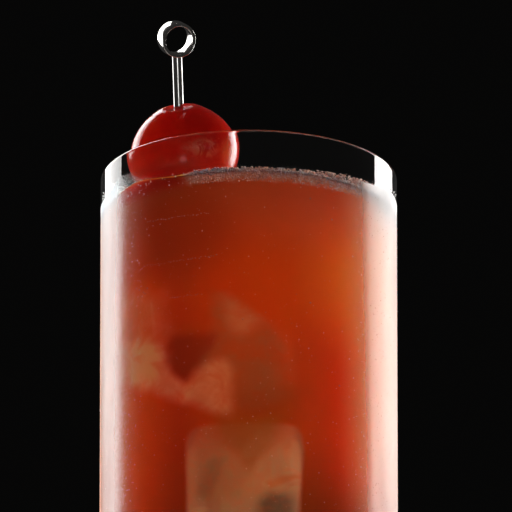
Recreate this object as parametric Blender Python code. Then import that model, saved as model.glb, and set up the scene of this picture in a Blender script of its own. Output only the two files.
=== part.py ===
"""A transfusion cocktail in its highball glass, with froth and a red fruit on a steel pick.

Metres, +Z up. The origin is the middle of the glass's base, and the front is towards -Y.
"""

import math

import bmesh
import bpy
from mathutils import Matrix, Vector, noise

MM = 0.001
GAP = 0.3 * MM  # between neighbouring pieces

# Glass: a straight highball with a thick base
GLASS_RADIUS = 32.5 * MM
GLASS_HEIGHT = 150.0 * MM
WALL = 1.4 * MM
BASE_THICKNESS = 9.0 * MM
FOOT_ROUNDING = 3.0 * MM
INNER_ROUNDING = 5.0 * MM
GLASS_SEGMENTS = 64

# Drink and the ring of froth that lies on it along the wall
LEVEL_BELOW_RIM = 9.5 * MM
FROTH_THICKNESS = 0.9 * MM
FROTH_WIDTH = 4.6 * MM
FROTH_WIDTH_WAVE = 2.0 * MM
FROTH_BUMP = 0.35 * MM
FROTH_SEGMENTS = 96

# Fruit: almost round, just inside the front left of the wall, half above the drink
FRUIT_RADIUS = 12.0 * MM
FRUIT_CENTRE = Vector((-14.0 * MM, -12.1 * MM, GLASS_HEIGHT + 0.5 * MM))
FRUIT_UNEVENNESS = 0.12 * MM
DIMPLE_DEPTH = 0.7 * MM
DIMPLE_RADIUS = 2.6 * MM
SKIN_LIP_HEIGHT = 0.2 * MM  # the skin is pushed up a little round the dimple
SKIN_LIP_RADIUS = 4.4 * MM
SKIN_LIP_WIDTH = 1.4 * MM
FRUIT_SEGMENTS = 40
FRUIT_RINGS = 26

# Pick: a short band for a grip, over one round rod that ends in a point. It leans to the front,
# with its tip near the far wall
PICK_LENGTH = 106.0 * MM
ROD_RADIUS = 1.08 * MM
ROD_LEFT_OF_FRUIT = 0.95 * MM  # of the fruit's middle
RING_ABOVE_FRUIT = 26.7 * MM  # along the rod, between the middles
RING_RADIUS = 3.85 * MM
RING_THICKNESS = 0.76 * MM
RING_WIDTH = 3.6 * MM
RING_EDGE = 0.12 * MM  # rounding of the band's edges
RING_TURN = math.radians(20.0)  # about the rod
POINT_LENGTH = 9.0 * MM
POINT_RADIUS = 0.1 * MM
LEAN_LEFT = 0.038  # sideways for each unit of height
LEAN_FORWARD = 0.62
ROD_SEGMENTS = 20
RING_SEGMENTS = 44

INNER_RADIUS = GLASS_RADIUS - WALL
LEVEL = GLASS_HEIGHT - LEVEL_BELOW_RIM
PICK_UP = Vector((-LEAN_LEFT, -LEAN_FORWARD, 1.0)).normalized()
PICK_THROUGH = FRUIT_CENTRE - Vector((ROD_LEFT_OF_FRUIT, 0.0, 0.0))
RING_CENTRE = PICK_THROUGH + PICK_UP * RING_ABOVE_FRUIT
PICK_ENTRY = (PICK_THROUGH + PICK_UP * FRUIT_RADIUS - FRUIT_CENTRE).normalized()


def clear_scene():
    for obj in list(bpy.data.objects):
        bpy.data.objects.remove(obj, do_unlink=True)


def plain_material(name, colour, roughness, metallic=0.0, transmission=0.0):
    material = bpy.data.materials.new(name)
    material.use_nodes = True
    shader = material.node_tree.nodes["Principled BSDF"]
    shader.inputs["Base Color"].default_value = (*colour, 1.0)
    shader.inputs["Roughness"].default_value = roughness
    shader.inputs["Metallic"].default_value = metallic
    shader.inputs["Transmission Weight"].default_value = transmission
    return material


def new_object(name, shape, material=None):
    """An object from a bmesh, its faces turned outwards and shaded smooth but for sharp edges."""
    bmesh.ops.recalc_face_normals(shape, faces=shape.faces)
    mesh = bpy.data.meshes.new(name)
    shape.to_mesh(mesh)
    shape.free()
    mesh.shade_smooth()
    mesh.set_sharp_from_angle(angle=math.radians(40))
    if material:
        mesh.materials.append(material)
    obj = bpy.data.objects.new(name, mesh)
    bpy.context.scene.collection.objects.link(obj)
    return obj


def arc(centre, radius, first, last, steps):
    """Points (r, z) on an arc about centre, from one angle in degrees to another."""
    angles = [math.radians(first + (last - first) * i / steps) for i in range(steps + 1)]
    return [(centre[0] + radius * math.cos(a), centre[1] + radius * math.sin(a)) for a in angles]


def turned(profile, segments):
    """The closed shape that a profile of (r, z) points makes when spun round Z."""
    shape = bmesh.new()
    points = [shape.verts.new((r, 0.0, z)) for r, z in profile]
    edges = [shape.edges.new(pair) for pair in zip(points, points[1:])]
    bmesh.ops.spin(
        shape,
        geom=points + edges,
        cent=(0.0, 0.0, 0.0),
        axis=(0.0, 0.0, 1.0),
        angle=math.tau,
        steps=segments,
        use_merge=True,
    )
    bmesh.ops.remove_doubles(shape, verts=shape.verts, dist=0.01 * MM)
    return shape


def boolean(obj, other, operation):
    """Combines an object with a helper that itself stays out of the part."""
    other.hide_render = True
    other.display_type = "WIRE"
    modifier = obj.modifiers.new(f"{operation.lower()} {other.name}", "BOOLEAN")
    modifier.operation = operation
    modifier.solver = "EXACT"
    modifier.object = other


def glass_profile():
    """From the middle of the underside, up the outside, over the lip and down to the inner floor."""
    foot = arc((GLASS_RADIUS - FOOT_ROUNDING, FOOT_ROUNDING), FOOT_ROUNDING, -90, 0, 4)
    lip = arc((GLASS_RADIUS - WALL / 2, GLASS_HEIGHT - WALL / 2), WALL / 2, 0, 180, 6)
    corner_centre = (INNER_RADIUS - INNER_ROUNDING, BASE_THICKNESS + INNER_ROUNDING)
    corner = arc(corner_centre, INNER_ROUNDING, 0, -90, 5)
    return [(0.0, 0.0)] + foot + lip + corner + [(0.0, BASE_THICKNESS)]


def make_glass():
    material = plain_material("clear glass", (0.95, 0.96, 0.96), 0.03, transmission=1.0)
    return new_object("glass", turned(glass_profile(), GLASS_SEGMENTS), material)


def drink_profile():
    """From the middle of the floor, along the glass's inner corner and up to the level."""
    side = INNER_RADIUS - GAP
    rounding = INNER_ROUNDING - GAP
    corner_centre = (side - rounding, BASE_THICKNESS + GAP + rounding)
    corner = arc(corner_centre, rounding, -90, 0, 5)
    return [(0.0, BASE_THICKNESS + GAP)] + corner + [(side, LEVEL), (0.0, LEVEL)]


def make_drink(rooms):
    material = plain_material("grape and ginger drink", (0.36, 0.06, 0.01), 0.15)
    drink = new_object("drink", turned(drink_profile(), GLASS_SEGMENTS), material)
    for room in rooms:
        boolean(drink, room, "DIFFERENCE")
    return drink


def froth_section(angle):
    """One loop of points across the ring of froth, low and flat below, bumpy above."""
    out = Vector((math.cos(angle), math.sin(angle), 0.0))
    width = FROTH_WIDTH + FROTH_WIDTH_WAVE * noise.noise(2.6 * out + Vector((4.0, 1.0, 0.0)))
    outer = INNER_RADIUS - GAP
    low = LEVEL + GAP
    shares = (1.0, 0.0, 0.0, 0.12, 0.4, 0.7, 1.0)  # of the width, from the inner edge
    rises = (0.0, 0.0, 0.35, 0.85, 1.0, 1.0, 0.9)  # of the thickness
    loop = []
    for share, rise in zip(shares, rises):
        radius = outer - width * (1.0 - share)
        bump = FROTH_BUMP * noise.noise(out * radius / (1.6 * MM)) if rise > 0.5 else 0.0
        loop.append(out * radius + Vector((0.0, 0.0, low + FROTH_THICKNESS * rise + bump)))
    return loop


def make_froth(room):
    material = plain_material("froth", (0.75, 0.42, 0.32), 0.4)
    steps = FROTH_SEGMENTS
    sections = [froth_section(math.tau * i / steps) for i in range(steps)]
    shape = bmesh.new()
    loops = [[shape.verts.new(point) for point in section] for section in sections]
    for low, high in zip(loops, loops[1:] + loops[:1]):
        for i in range(len(low)):
            j = (i + 1) % len(low)
            shape.faces.new((low[i], low[j], high[j], high[i]))
    froth = new_object("froth", shape, material)
    boolean(froth, room, "DIFFERENCE")
    return froth


def fruit_surface(direction):
    """The fruit's radius along a unit direction: nearly even, with a dimple where the pick goes in."""
    uneven = FRUIT_UNEVENNESS * noise.noise(1.7 * direction + Vector((3.0, 7.0, 2.0)))
    from_pick = FRUIT_RADIUS * direction.angle(PICK_ENTRY)
    dimple = DIMPLE_DEPTH * math.exp(-((from_pick / DIMPLE_RADIUS) ** 2))
    lip = SKIN_LIP_HEIGHT * math.exp(-(((from_pick - SKIN_LIP_RADIUS) / SKIN_LIP_WIDTH) ** 2))
    return FRUIT_RADIUS + uneven - dimple + lip


def fruit_shape(extra):
    """The fruit's closed surface, grown by extra, with one pole where the pick goes in."""
    shape = bmesh.new()
    bmesh.ops.create_uvsphere(
        shape, u_segments=FRUIT_SEGMENTS, v_segments=FRUIT_RINGS, radius=1.0
    )
    turn = Vector((0.0, 0.0, 1.0)).rotation_difference(PICK_ENTRY)
    for vert in shape.verts:
        direction = (turn @ vert.co).normalized()
        vert.co = FRUIT_CENTRE + direction * (fruit_surface(direction) + extra)
    return shape


def make_fruit(pick_room):
    material = plain_material("red fruit", (0.28, 0.012, 0.006), 0.12)
    fruit = new_object("fruit", fruit_shape(0.0), material)
    boolean(fruit, pick_room, "DIFFERENCE")
    return fruit


def pick_placement():
    """From the pick's own axes, with the ring's middle at the origin and the rod down -Z."""
    turn = Vector((0.0, 0.0, 1.0)).rotation_difference(PICK_UP).to_matrix().to_4x4()
    return Matrix.Translation(RING_CENTRE) @ turn @ Matrix.Rotation(RING_TURN, 4, "Z")


def rod_shape(profile):
    """A rod turned from a profile of (r, z) points in the pick's own axes."""
    shape = turned(profile, ROD_SEGMENTS)
    bmesh.ops.transform(shape, matrix=pick_placement(), verts=shape.verts)
    return shape


def ring_shape():
    """The grip: a short band, turned about its own axis, which is the pick's Y."""
    inner, outer, half = RING_RADIUS - RING_THICKNESS, RING_RADIUS, RING_WIDTH / 2
    near_face = [(inner + RING_EDGE, -half), (outer - RING_EDGE, -half)]
    outside = [(outer, -half + RING_EDGE), (outer, half - RING_EDGE)]
    far_face = [(outer - RING_EDGE, half), (inner + RING_EDGE, half)]
    inside = [(inner, half - RING_EDGE), (inner, -half + RING_EDGE)]
    profile = near_face + outside + far_face + inside
    shape = turned(profile + profile[:1], RING_SEGMENTS)
    stand_up = Matrix.Rotation(math.radians(-90.0), 4, "X")
    bmesh.ops.transform(shape, matrix=pick_placement() @ stand_up, verts=shape.verts)
    return shape


def make_pick(top, tip):
    material = plain_material("polished steel", (0.62, 0.6, 0.58), 0.12, metallic=1.0)
    point = [(0.0, tip), (POINT_RADIUS, tip), (ROD_RADIUS, tip + POINT_LENGTH)]
    pick = new_object("pick", rod_shape(point + [(ROD_RADIUS, top), (0.0, top)]), material)
    boolean(pick, new_object("pick_band", ring_shape()), "UNION")
    return pick


def make_pick_room(tip):
    """The rod grown by the gap, from above the fruit to below the tip."""
    radius = ROD_RADIUS + GAP
    low, high = tip - GAP, -RING_RADIUS - 2.0 * MM
    return new_object("pick_room", rod_shape([(0.0, low), (radius, low), (radius, high), (0.0, high)]))


def main():
    clear_scene()
    top = -RING_RADIUS + 0.5 * RING_THICKNESS
    tip = RING_RADIUS - PICK_LENGTH
    fruit_room = new_object("fruit_room", fruit_shape(GAP))
    pick_room = make_pick_room(tip)
    make_glass()
    make_drink([fruit_room, pick_room])
    make_froth(fruit_room)
    make_fruit(pick_room)
    make_pick(top, tip)


main()
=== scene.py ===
# %% [markdown]
# # A transfusion cocktail in its glass
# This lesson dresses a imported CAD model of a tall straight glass, full of a deep red drink. A round red
# fruit on a steel pick leans on the near wall, and two cubes of ice are sunk in the drink. Each step says
# what the piece is on the real object, how it could be made, and why this way was chosen. All lengths are
# in metres, in the CAD model's own frame, so a piece goes where the CAD says it is.

# %% Load the frame
import math
import random

import bmesh
import bpy
import numpy as np
from mathutils import Matrix, Vector


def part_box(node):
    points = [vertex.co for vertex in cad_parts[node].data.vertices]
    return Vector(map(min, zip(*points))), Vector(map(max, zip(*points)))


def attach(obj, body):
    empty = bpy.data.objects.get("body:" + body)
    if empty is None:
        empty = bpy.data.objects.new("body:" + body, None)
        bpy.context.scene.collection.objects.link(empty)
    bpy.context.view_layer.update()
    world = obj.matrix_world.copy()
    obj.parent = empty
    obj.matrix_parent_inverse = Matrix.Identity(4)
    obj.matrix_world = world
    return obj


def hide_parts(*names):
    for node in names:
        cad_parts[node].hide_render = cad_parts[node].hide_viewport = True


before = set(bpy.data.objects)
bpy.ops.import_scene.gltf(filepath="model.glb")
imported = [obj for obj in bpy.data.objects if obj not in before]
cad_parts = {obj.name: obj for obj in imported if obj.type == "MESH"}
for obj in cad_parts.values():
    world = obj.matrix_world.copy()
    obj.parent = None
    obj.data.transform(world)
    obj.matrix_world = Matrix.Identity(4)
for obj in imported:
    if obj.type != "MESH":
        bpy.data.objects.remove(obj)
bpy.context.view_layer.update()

# %% [markdown]
# ## The sizes of the real thing
# The glass is a plain highball, 65 mm wide. Everything else was measured against that width in the
# photograph. The same numbers could be typed into each step, but a size that two pieces share has to be one
# value. So they are named here once, in millimetres times MM.

# %% Sizes
MM = 0.001
GLASS_RADIUS = 32.5 * MM
GLASS_HEIGHT = 150 * MM
WALL = 1.4 * MM
BASE = 9 * MM
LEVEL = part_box("drink")[1].z
INSIDE = GLASS_RADIUS - WALL
NEARLY = 0.1 * MM


def in_mm(lengths):
    return [round(length / MM, 1) for length in lengths]


print("inside radius and level", in_mm((INSIDE, LEVEL)))

# %% [markdown]
# ## The camera
# The photograph looks up at the rim by about 20 degrees, from below it, with a long lens: the sides of the
# glass stay parallel to within a pixel. So the camera stands 3.5 m away, and its lens is chosen so that 512
# pixels are 112.5 mm at the rim. It is aimed a little below the rim, as the photograph is framed.

# %% Camera
LOOK_UP = math.radians(19.8)
DISTANCE = 3.5
PIXEL = 0.2197 * MM
PICTURE_WIDTH = 512
SENSOR_WIDTH = 36
RIM_X, RIM_Y = 248.8, 179.5
AIM_RIGHT, AIM_DOWN = 7.2, 76.5
rim_middle = Vector((0, 0, GLASS_HEIGHT))
towards_camera = Vector((0, -math.cos(LOOK_UP), -math.sin(LOOK_UP)))
picture_up = Vector((0, -math.sin(LOOK_UP), math.cos(LOOK_UP)))
aim = rim_middle + Vector((AIM_RIGHT * PIXEL, 0, 0)) - picture_up * AIM_DOWN * PIXEL

lens = bpy.data.cameras.new("long_lens")
lens.sensor_width = SENSOR_WIDTH
lens.lens = SENSOR_WIDTH * DISTANCE / (PICTURE_WIDTH * PIXEL)
lens.clip_start, lens.clip_end = 0.1, 20
camera = bpy.data.objects.new("camera", lens)
camera.location = rim_middle + towards_camera * DISTANCE
camera.rotation_euler = (aim - camera.location).to_track_quat("-Z", "Y").to_euler()
bpy.context.scene.collection.objects.link(camera)
bpy.context.scene.camera = camera
print("lens", round(lens.lens), "mm")


# %% Placing by the photograph
def column(x):
    """How far to the right of the glass's middle the photograph shows this column of pixels."""
    return (x - RIM_X) * PIXEL


def on_wall(x, y, radius=INSIDE):
    """The point of the near wall that the photograph shows at this pixel."""
    near = -math.sqrt(max(radius ** 2 - column(x) ** 2, 0))
    drop = (RIM_Y - y) * PIXEL
    height = (drop + near * math.sin(LOOK_UP)) / math.cos(LOOK_UP)
    return Vector((column(x), near, GLASS_HEIGHT + height))


TOP_OF_ICE = (225, 294)
print("the ice begins at", in_mm(on_wall(*TOP_OF_ICE)))

# %% [markdown]
# ## The lights
# The highlights tell where the studio's lights stood: a tall softbox behind the glass on each side, a small
# one almost overhead and one low in front. The backdrop is black, which makes the white bands on the glass
# so crisp. Lamps could be placed by eye, but angles round the rim are easier to match to a highlight.

# %% Lights: the softboxes
LIGHT_DISTANCE = 1.0


def softbox(name, azimuth, elevation, wide, high, radiance, colour=(1, 1, 1), roll=0.0):
    """Azimuth 0 is the camera's side and grows to the left. Radiance is what a mirror would show of it."""
    lamp = bpy.data.lights.new(name, "AREA")
    lamp.shape = "RECTANGLE"
    lamp.size, lamp.size_y = wide, high
    lamp.energy = radiance * math.pi * wide * high
    lamp.color = colour
    a, e = math.radians(azimuth), math.radians(elevation)
    way = Vector((-math.sin(a) * math.cos(e), -math.cos(a) * math.cos(e), math.sin(e)))
    box = bpy.data.objects.new(name, lamp)
    box.location = rim_middle + way * LIGHT_DISTANCE
    facing = way.to_track_quat("Z", "Y").to_matrix() @ Matrix.Rotation(math.radians(roll), 3, "Z")
    box.rotation_euler = facing.to_euler()
    box.visible_camera = False
    bpy.context.scene.collection.objects.link(box)


softbox("left_softbox", azimuth=140, elevation=29.4, wide=0.5, high=1.02, radiance=5.0,
        colour=(1.0, 0.985, 0.97), roll=28)
softbox("right_softbox", azimuth=-131, elevation=6, wide=0.44, high=0.98, radiance=9.0,
        colour=(1.0, 0.98, 0.965))
softbox("top_softbox", azimuth=0, elevation=81, wide=0.07, high=0.07, radiance=12.0)
softbox("low_softbox", azimuth=0, elevation=-44, wide=0.12, high=0.3, radiance=3.0)
print("softboxes:", [lamp.name for lamp in bpy.data.lights])

# %% [markdown]
# ## The dark room
# A black room would give the steel and the froth nothing to mirror, and a grey one would lift the black
# backdrop. So the room is faintly lit, but hardly for rays that see the backdrop, straight or through the
# glass.

# %% Lights: the dark room
ROOM_GLOW, BACKDROP_GLOW = 0.03, 0.002
WARM_WHITE = (1.0, 0.98, 0.95, 1)
world = bpy.data.worlds.new("dark_studio")
world.use_nodes = True
room = world.node_tree
ray = room.nodes.new("ShaderNodeLightPath")
seen = room.nodes.new("ShaderNodeMath")
seen.operation = "MAXIMUM"
room.links.new(ray.outputs["Is Camera Ray"], seen.inputs[0])
room.links.new(ray.outputs["Is Transmission Ray"], seen.inputs[1])
dim = room.nodes.new("ShaderNodeMapRange")
dim.inputs["To Min"].default_value = ROOM_GLOW
dim.inputs["To Max"].default_value = BACKDROP_GLOW
room.links.new(seen.outputs[0], dim.inputs["Value"])
room.links.new(dim.outputs[0], room.nodes["Background"].inputs["Strength"])
room.nodes["Background"].inputs["Color"].default_value = WARM_WHITE
bpy.context.scene.world = world
print("the room's light is", ROOM_GLOW, "and the backdrop's", BACKDROP_GLOW)

# %% [markdown]
# ## How the picture is developed
# A red drink turns dull under a film-like tone curve, so the plain Standard view is used. Light has to pass
# four skins of glass and two of drink before it reaches the ice, so paths may be long.

# %% Picture settings
scene = bpy.context.scene
scene.view_settings.view_transform = "Standard"
scene.cycles.max_bounces = 16
scene.cycles.transmission_bounces = 14
scene.cycles.transparent_max_bounces = 16
print("view", scene.view_settings.view_transform, "and up to", scene.cycles.max_bounces, "bounces")

# %% [markdown]
# ## Helpers for working by hand
# Blender's mesh operators act on whatever is selected, as they do under a mouse. The helpers below do what
# the hand does: start with nothing selected, go into edit mode, and select faces or edges by where they are
# or which way they face.

# %% Helpers: selecting
def select_nothing():
    if bpy.context.mode != "OBJECT":
        bpy.ops.object.mode_set(mode="OBJECT")
    bpy.ops.object.select_all(action="DESELECT")


def select_only(piece):
    select_nothing()
    piece.select_set(True)
    bpy.context.view_layer.objects.active = piece


def start_edit(piece, kind="FACE"):
    select_only(piece)
    bpy.ops.object.mode_set(mode="EDIT")
    bpy.ops.mesh.select_mode(type=kind)
    bpy.ops.mesh.select_all(action="DESELECT")


def end_edit():
    bpy.ops.object.mode_set(mode="OBJECT")


def select_faces(piece, wanted):
    shape = bmesh.from_edit_mesh(piece.data)
    for face in shape.faces:
        face.select_set(wanted(face.normal))
    bmesh.update_edit_mesh(piece.data)


def select_edges(piece, wanted):
    shape = bmesh.from_edit_mesh(piece.data)
    for edge in shape.edges:
        edge.select_set(all(wanted(corner.co) for corner in edge.verts))
    bmesh.update_edit_mesh(piece.data)


def select_points(piece, wanted):
    shape = bmesh.from_edit_mesh(piece.data)
    for point in shape.verts:
        point.select_set(wanted(point.co))
    shape.select_flush(True)
    bmesh.update_edit_mesh(piece.data)


# %% [markdown]
# ## Helpers for making and finishing a mesh
# These are operators and modifiers from Blender's menus, with the settings that this object's pieces share.


# %% Helpers: starting and finishing a mesh
def name_piece(name):
    piece = bpy.context.object
    piece.name = name
    piece.data.name = name
    return piece


def apply_place(piece):
    select_only(piece)
    bpy.ops.object.transform_apply(location=True, rotation=True, scale=True)


def apply_modifiers(piece):
    select_only(piece)
    for modifier in list(piece.modifiers):
        bpy.ops.object.modifier_apply(modifier=modifier.name)


def add_cylinder(name, sides, radius, bottom, top):
    select_nothing()
    bpy.ops.mesh.primitive_cylinder_add(vertices=sides, radius=radius, depth=top - bottom,
                                        location=(0, 0, (bottom + top) / 2), end_fill_type="NGON")
    piece = name_piece(name)
    apply_place(piece)
    return piece


def smooth(piece, degrees=35):
    select_only(piece)
    bpy.ops.object.shade_smooth_by_angle(angle=math.radians(degrees))


# %% Helpers: rounding, wearing and combining
def round_edges(piece, wanted, size, segments):
    """Bevels the wanted edges of a piece that is open in edit mode."""
    select_edges(piece, wanted)
    bpy.ops.mesh.bevel(offset=size, segments=segments, affect="EDGES")


def add_subdivision(piece, levels):
    smoother = piece.modifiers.new("Smoother", "SUBSURF")
    smoother.levels = smoother.render_levels = levels


def add_wear(piece, name, size, strength, middle=0.5):
    """Pushes the surface in and out by a cloud texture, whose lumps have this size."""
    clouds = bpy.data.textures.new(name, "CLOUDS")
    clouds.noise_scale = size
    wear = piece.modifiers.new(name, "DISPLACE")
    wear.texture, wear.texture_coords = clouds, "LOCAL"
    wear.strength, wear.mid_level = strength, middle


def combine(piece, other, operation):
    """Joins the other piece on, or cuts it out, and then removes it."""
    combined = piece.modifiers.new("Combined", "BOOLEAN")
    combined.operation, combined.object, combined.solver = operation, other, "EXACT"
    apply_modifiers(piece)
    bpy.data.objects.remove(other)


def ring_radius(place):
    return math.hypot(place.x, place.y)


# %% [markdown]
# ## Helpers for materials
# Every finish here is a node tree on the piece's own Object coordinates, so a pattern has its real size.
# Nodes could be placed by hand, but the drink alone has hundreds. A small builder is easier to read: it
# adds a node, types values into its inputs or links them, and hands back what comes out. Most values are
# shares from 0 to 1. Shares that have to hold together are multiplied, and a ramp turns a height or a
# distance into a share.


# %% Materials: a tree of nodes
class Tree:
    """A material under construction: its nodes, its main shader and the place that is shaded."""

    def __init__(self, name):
        self.material = bpy.data.materials.new(name)
        self.material.use_nodes = True
        self.tree = self.material.node_tree
        self.shader = self.tree.nodes["Principled BSDF"]
        self.out = self.tree.nodes["Material Output"]
        self.place = self.add("ShaderNodeTexCoord").outputs["Object"]
        self.x, self.y, self.z = self.add("ShaderNodeSeparateXYZ", _0=self.place).outputs

    def add(self, kind, settings=None, **inputs):
        node = self.tree.nodes.new(kind)
        for name, value in (settings or {}).items():
            setattr(node, name, value)
        for name, value in inputs.items():
            self.fill(node, name, value)
        return node

    def fill(self, node, name, value):
        """An input is told by its name, or by _ and its number. A colour is red, green and blue."""
        socket = node.inputs[int(name[1:])] if name[0] == "_" else node.inputs[name.replace("_", " ")]
        if isinstance(value, bpy.types.NodeSocket):
            self.tree.links.new(value, socket)
        elif socket.type == "RGBA":
            socket.default_value = (*value, 1)
        else:
            socket.default_value = value

    def set(self, **inputs):
        for name, value in inputs.items():
            self.fill(self.shader, name, value)

    def let_light_through(self):
        """Shadow rays pass straight through, so that the lamps reach what stands inside."""
        ray = self.add("ShaderNodeLightPath").outputs["Is Shadow Ray"]
        clear = self.add("ShaderNodeBsdfTransparent").outputs[0]
        both = self.add("ShaderNodeMixShader", _0=ray, _1=self.shader.outputs[0], _2=clear)
        self.tree.links.new(both.outputs[0], self.out.inputs["Surface"])


# %% Materials: sums
class Sums(Tree):
    """A tree that can also reckon."""

    def maths(self, operation, first, second=0.0, third=0.0):
        node = self.add("ShaderNodeMath", {"operation": operation}, _0=first, _1=second, _2=third)
        return node.outputs[0]

    def vector(self, operation, first, second=(0, 0, 0)):
        node = self.add("ShaderNodeVectorMath", {"operation": operation}, _0=first, _1=second)
        return node.outputs["Value" if operation in ("LENGTH", "DOT_PRODUCT") else "Vector"]

    def chain(self, operation, values):
        """The first value with the second, their result with the third, and so on."""
        result = values[0]
        for value in values[1:]:
            result = self.maths(operation, result, value)
        return result

    def times(self, *values):
        return self.chain("MULTIPLY", values)

    def plus(self, *values):
        return self.chain("ADD", values)

    def largest(self, *values):
        return self.chain("MAXIMUM", values)

    def weighted(self, *pairs):
        """The sum of several values, each times its own weight."""
        total = 0.0
        for value, weight in pairs:
            total = self.maths("MULTIPLY_ADD", value, weight, total)
        return total

    def less(self, value, share=1.0):
        """1 where the value is 0, and less by the share where it is 1."""
        return self.maths("MULTIPLY_ADD", value, -share, 1.0)

    def ramp(self, value, low, high, start=0.0, end=1.0):
        settings = {"interpolation_type": "SMOOTHSTEP"}
        node = self.add("ShaderNodeMapRange", settings, _0=value, _1=low, _2=high, _3=start, _4=end)
        return node.outputs[0]


# %% [markdown]
# ## Patches and patterns
# A patch could be painted on an unwrapped mesh. Here it is told by its corners in the photograph, and laid
# on what faces the camera: each edge is a soft ramp, and the patch is where all of them are full.


# %% Materials: patterns
class Finish(Sums):
    """A tree that can also mix colours and make patterns, whose sizes are in millimetres."""

    def blend(self, share, first, second):
        node = self.add("ShaderNodeMix", {"data_type": "RGBA"}, _0=share, _6=first, _7=second)
        return node.outputs[2]

    def layers(self, colour, *coats):
        """A colour under coats of other colours, each coat with its own share."""
        for share, coat in coats:
            colour = self.blend(share, colour, coat)
        return colour

    def noise(self, size, detail=2.0, roughness=0.5, warp=0.0, stretch=(1, 1, 1)):
        place = self.add("ShaderNodeMapping", Vector=self.place, Scale=stretch).outputs[0]
        node = self.add("ShaderNodeTexNoise", Vector=place, Scale=1 / (size * MM), Detail=detail,
                        Roughness=roughness, Distortion=warp)
        return node.outputs["Fac"]

    def cells(self, size):
        """How far a point is from the middle of its cell."""
        return self.add("ShaderNodeTexVoronoi", Vector=self.place, Scale=1 / (size * MM)).outputs["Distance"]

    def away_from(self, point, squeeze=(1, 1, 1)):
        moved = self.vector("SUBTRACT", self.place, point)
        return self.vector("LENGTH", self.vector("MULTIPLY", moved, squeeze))

    def turned_away(self):
        """0 where a surface faces the eye and 1 where it is seen edge-on."""
        return self.add("ShaderNodeLayerWeight", Blend=0.5).outputs["Facing"]

    def waver(self, size, amount):
        """The place, pushed about by noise, so that a straight border on it becomes an uneven one."""
        clouds = self.add("ShaderNodeTexNoise", Vector=self.place, Scale=1 / (size * MM), Detail=1.5)
        evenly = self.vector("SUBTRACT", clouds.outputs["Color"], (0.5, 0.5, 0.5))
        return self.vector("ADD", self.vector("MULTIPLY", evenly, 3 * (amount * MM,)), self.place)

    def columns(self, first, last, start=0.0, end=1.0):
        """A ramp from one column of the photograph's pixels to another."""
        return self.ramp(self.x, column(first), column(last), start, end)

    def rows(self, x, first, last, start=0.0, end=1.0):
        """A ramp down the near wall, from one row of pixels to another, seen in the column x."""
        return self.ramp(self.z, on_wall(x, first).z, on_wall(x, last).z, start, end)

    def seen_patch(self, corners, soft, place):
        """1 inside a patch of the near side, whose corners are pixels of the photograph, clockwise."""
        right = self.vector("DOT_PRODUCT", place, (1, 0, 0))
        high = self.vector("DOT_PRODUCT", place, picture_up)
        inside = self.ramp(self.y, -4 * MM, -8 * MM)
        for (x1, y1), (x2, y2) in zip(corners, corners[1:] + corners[:1]):
            long = math.hypot(x2 - x1, y2 - y1)
            across, up = (y1 - y2) / long, (x1 - x2) / long
            corner_high = (RIM_Y - y1) * PIXEL + GLASS_HEIGHT * math.cos(LOOK_UP)
            depth = self.maths("MULTIPLY_ADD", right, across, -across * column(x1) - up * corner_high)
            depth = self.maths("MULTIPLY_ADD", high, up, depth)
            inside = self.times(inside, self.ramp(depth, -soft / 2, soft / 2))
        return inside

    def bump(self, height, depth, strength=1.0):
        node = self.add("ShaderNodeBump", Height=height, Distance=depth * MM, Strength=strength)
        return node.outputs["Normal"]


# %% Materials: onto a piece
def finish_piece(piece, finish, slot, *nodes):
    piece.data.materials.clear()
    piece.data.materials.append(finish.material)
    if nodes:
        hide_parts(*nodes)
    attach(piece, "root")
    piece.data.calc_loop_triangles()
    print(piece.name, len(piece.data.loop_triangles), "triangles,", in_mm(piece.dimensions), "mm,",
          len(finish.tree.nodes), "nodes")


# %% [markdown]
# ## The floor
# The glass stands on a pale round plate, just wide enough to stay out of the photograph's view. It isn't
# part of the object, so a cylinder with a bevelled edge is enough. It lies a hair under the glass, or the
# two would flicker.

# %% Floor
FLOOR_RADIUS, FLOOR_THICK, FLOOR_GAP, FLOOR_ROUNDING = 170 * MM, 4 * MM, 0.1 * MM, 1.5 * MM
floor = add_cylinder("pale_floor", 128, FLOOR_RADIUS, -FLOOR_GAP - FLOOR_THICK, -FLOOR_GAP)
start_edit(floor, "EDGE")
round_edges(floor, lambda place: place.z > -FLOOR_GAP - NEARLY, FLOOR_ROUNDING, segments=3)
end_edit()
smooth(floor)
paper = Finish("pale floor")
paper_colour = paper.blend(paper.noise(4, 4), (0.72, 0.71, 0.69), (0.76, 0.75, 0.73))
paper.set(Base_Color=paper_colour, Roughness=0.7)
floor.data.materials.append(paper.material)
print("floor", in_mm(floor.dimensions), "mm")

# %% [markdown]
# ## The glass: shape
# The real glass is pressed in one piece: a straight wall 1.4 mm thick, a fire-rounded lip and a thick base.
# It could be a turned profile. Made by hand it is a cylinder whose top face is inset by the wall and pushed
# down to the base, and then the foot, the inner corner and the lip are bevelled.

# %% Glass: the wall
SIDES = 256
FLAT = 0.9
glass = add_cylinder("clear_glass", SIDES, GLASS_RADIUS, 0, GLASS_HEIGHT)
start_edit(glass)
select_faces(glass, lambda normal: normal.z > FLAT)
bpy.ops.mesh.inset(thickness=WALL)
bpy.ops.mesh.extrude_region_move(TRANSFORM_OT_translate={"value": (0, 0, BASE - GLASS_HEIGHT)})
end_edit()
print("wall made", len(glass.data.polygons), "faces")

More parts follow.
